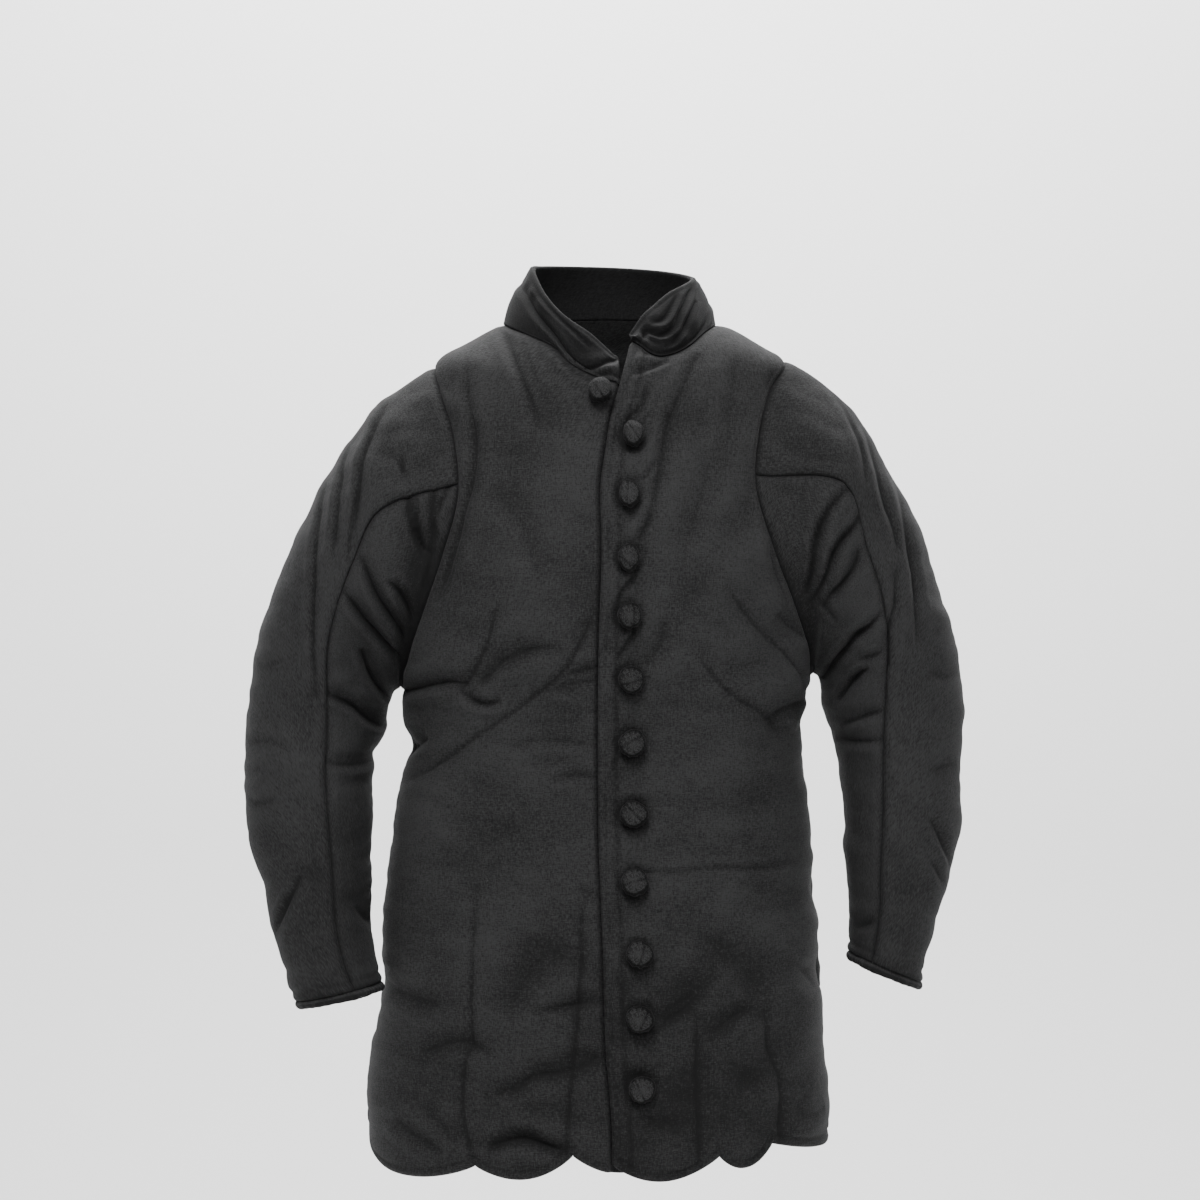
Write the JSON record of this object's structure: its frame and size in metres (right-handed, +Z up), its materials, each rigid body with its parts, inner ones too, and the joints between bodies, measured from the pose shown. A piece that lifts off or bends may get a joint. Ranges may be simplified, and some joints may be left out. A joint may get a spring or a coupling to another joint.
{
  "type": "gambeson",
  "caption": "Padded cloth coat with a stand collar, button front, deep-set two-piece sleeves and a scalloped skirt.",
  "frame": {"origin": "the middle of the neck, level with the neck points of the shoulders, where the wearer's neck and shoulders hold the coat up", "axes": "+Z up; the front faces -Y; +X is the wearer's left"},
  "size_m": [0.6481, 0.2986, 0.8063],
  "materials": {
    "wool": "charcoal black fulled wool, slightly slubby plain weave, over a thin batting",
    "wool_shaded": "the same wool, darker where it lies against its nap"
  },
  "bodies": {
    "root": {"front_right": "wool", "front_left": "wool", "back": "wool", "collar": "wool_shaded", "upper_sleeve_right": "wool", "under_sleeve_right": "wool", "cuff_roll_right": "wool", "upper_sleeve_left": "wool", "under_sleeve_left": "wool", "cuff_roll_left": "wool", "button_01": "wool_shaded", "button_02": "wool_shaded", "button_03": "wool_shaded", "button_04": "wool_shaded", "button_05": "wool_shaded", "button_06": "wool_shaded", "button_07": "wool_shaded", "button_08": "wool_shaded", "button_09": "wool_shaded", "button_10": "wool_shaded", "button_11": "wool_shaded", "button_12": "wool_shaded"}
  },
  "joints": []
}
